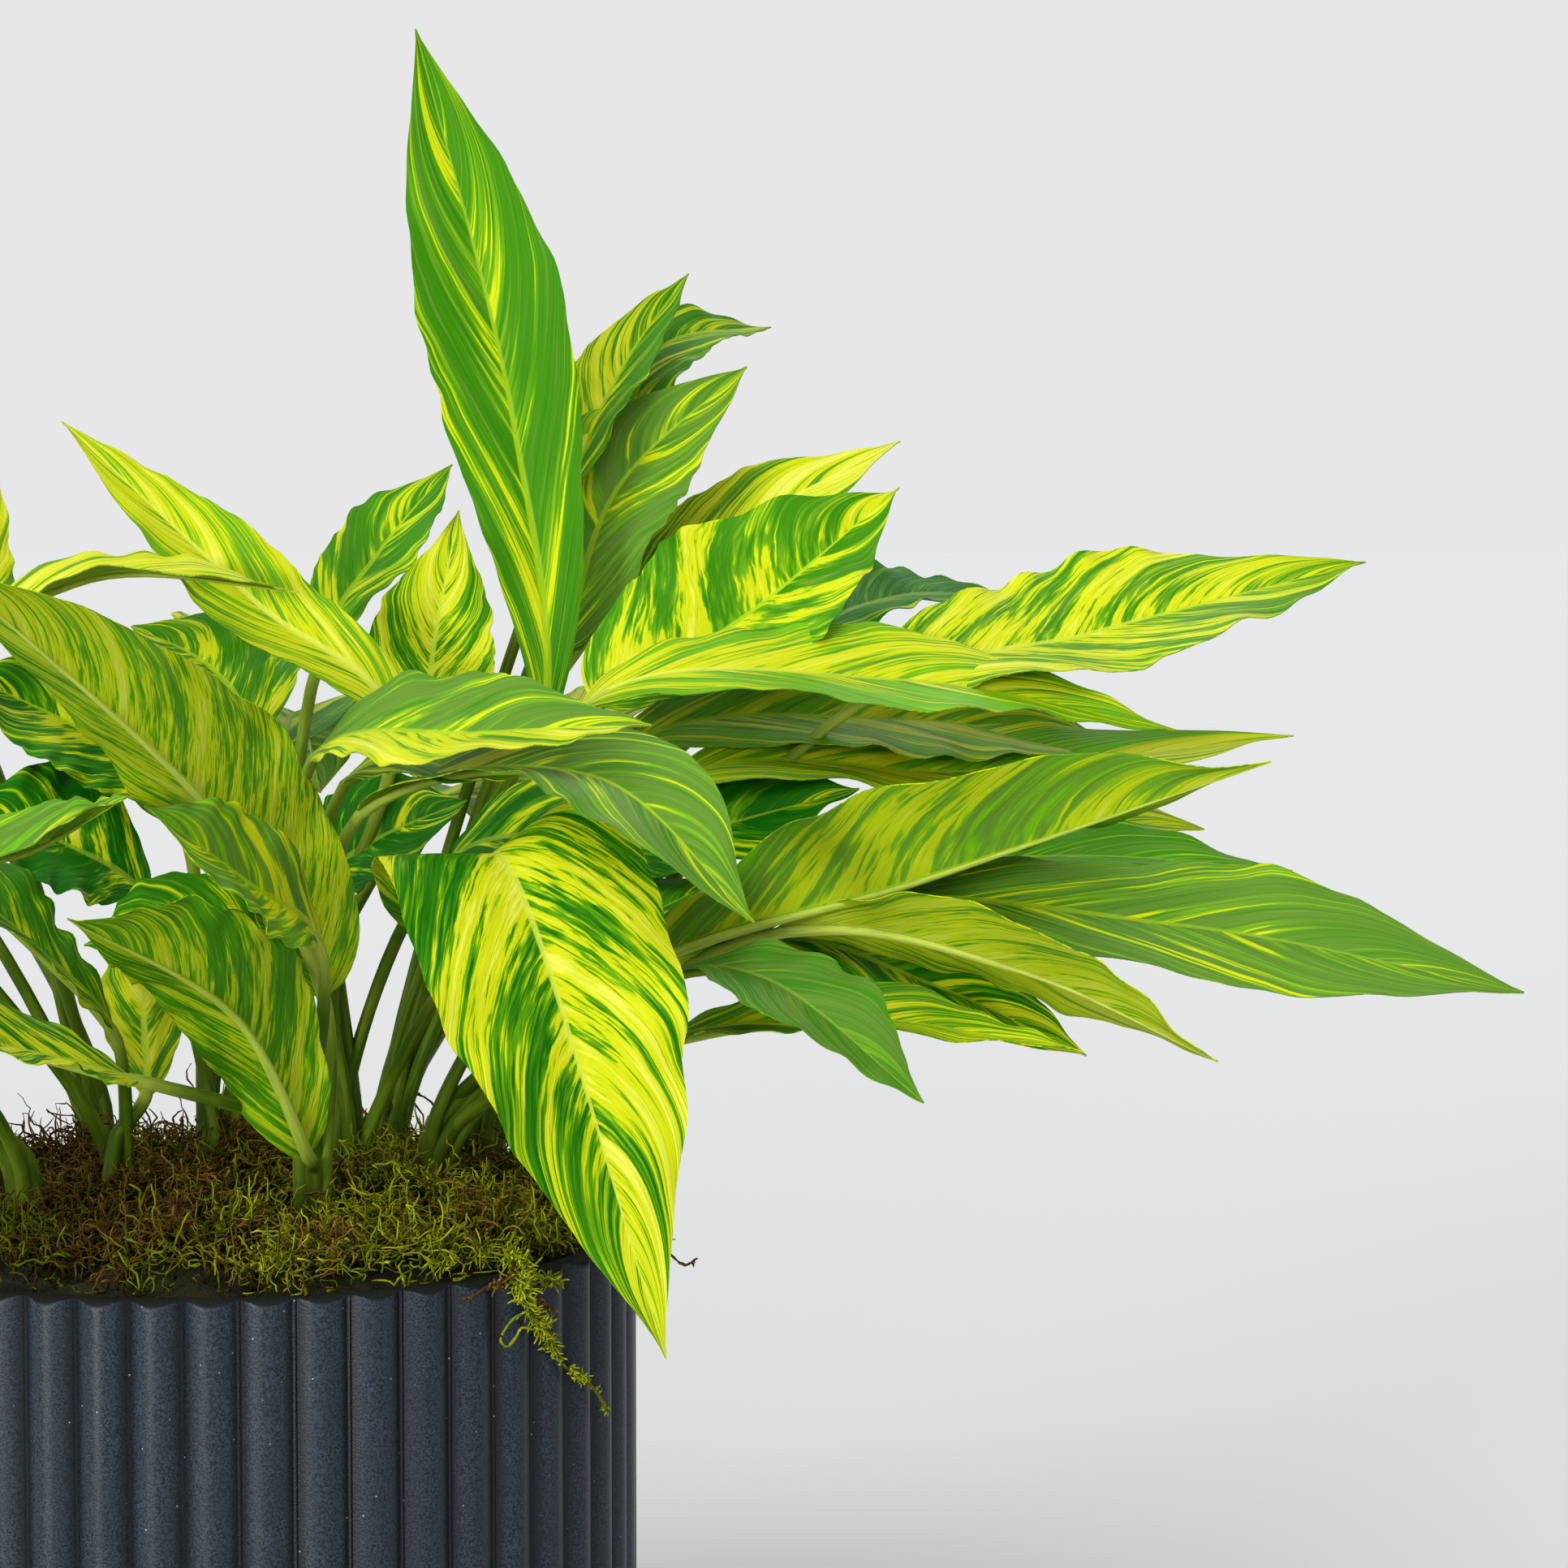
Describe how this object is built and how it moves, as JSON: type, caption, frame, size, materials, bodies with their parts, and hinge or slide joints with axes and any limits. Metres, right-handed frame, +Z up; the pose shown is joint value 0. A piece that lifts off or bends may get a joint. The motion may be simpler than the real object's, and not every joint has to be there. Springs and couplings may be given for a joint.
{
  "type": "potted cordyline",
  "caption": "Variegated strap-leaved foliage plant growing from moss in a straight ribbed round pot.",
  "frame": {"origin": "centre of the pot's flat underside", "axes": "+Z up along the pot's axis, -Y towards the side with the one big leaf that hangs over the rim, +X towards the longest arching leaves"},
  "size_m": [0.9056, 0.6709, 0.7254],
  "materials": {
    "pot": "satin",
    "soil": "matte",
    "moss": "matte",
    "leaf": "satin"
  },
  "bodies": {
    "root": {"pot": "pot", "soil": "soil", "moss": "moss", "leafy_stem_right_front": "leaf", "leafy_stem_right": "leaf", "leafy_stem_back_right": "leaf", "leafy_stem_front": "leaf", "leafy_stem_front_left": "leaf", "leafy_stem_centre": "leaf", "leafy_stem_middle_left": "leaf", "leafy_stem_left_front": "leaf", "leafy_stem_left": "leaf", "leafy_stem_back_left": "leaf", "leafy_stem_back": "leaf"}
  },
  "joints": []
}
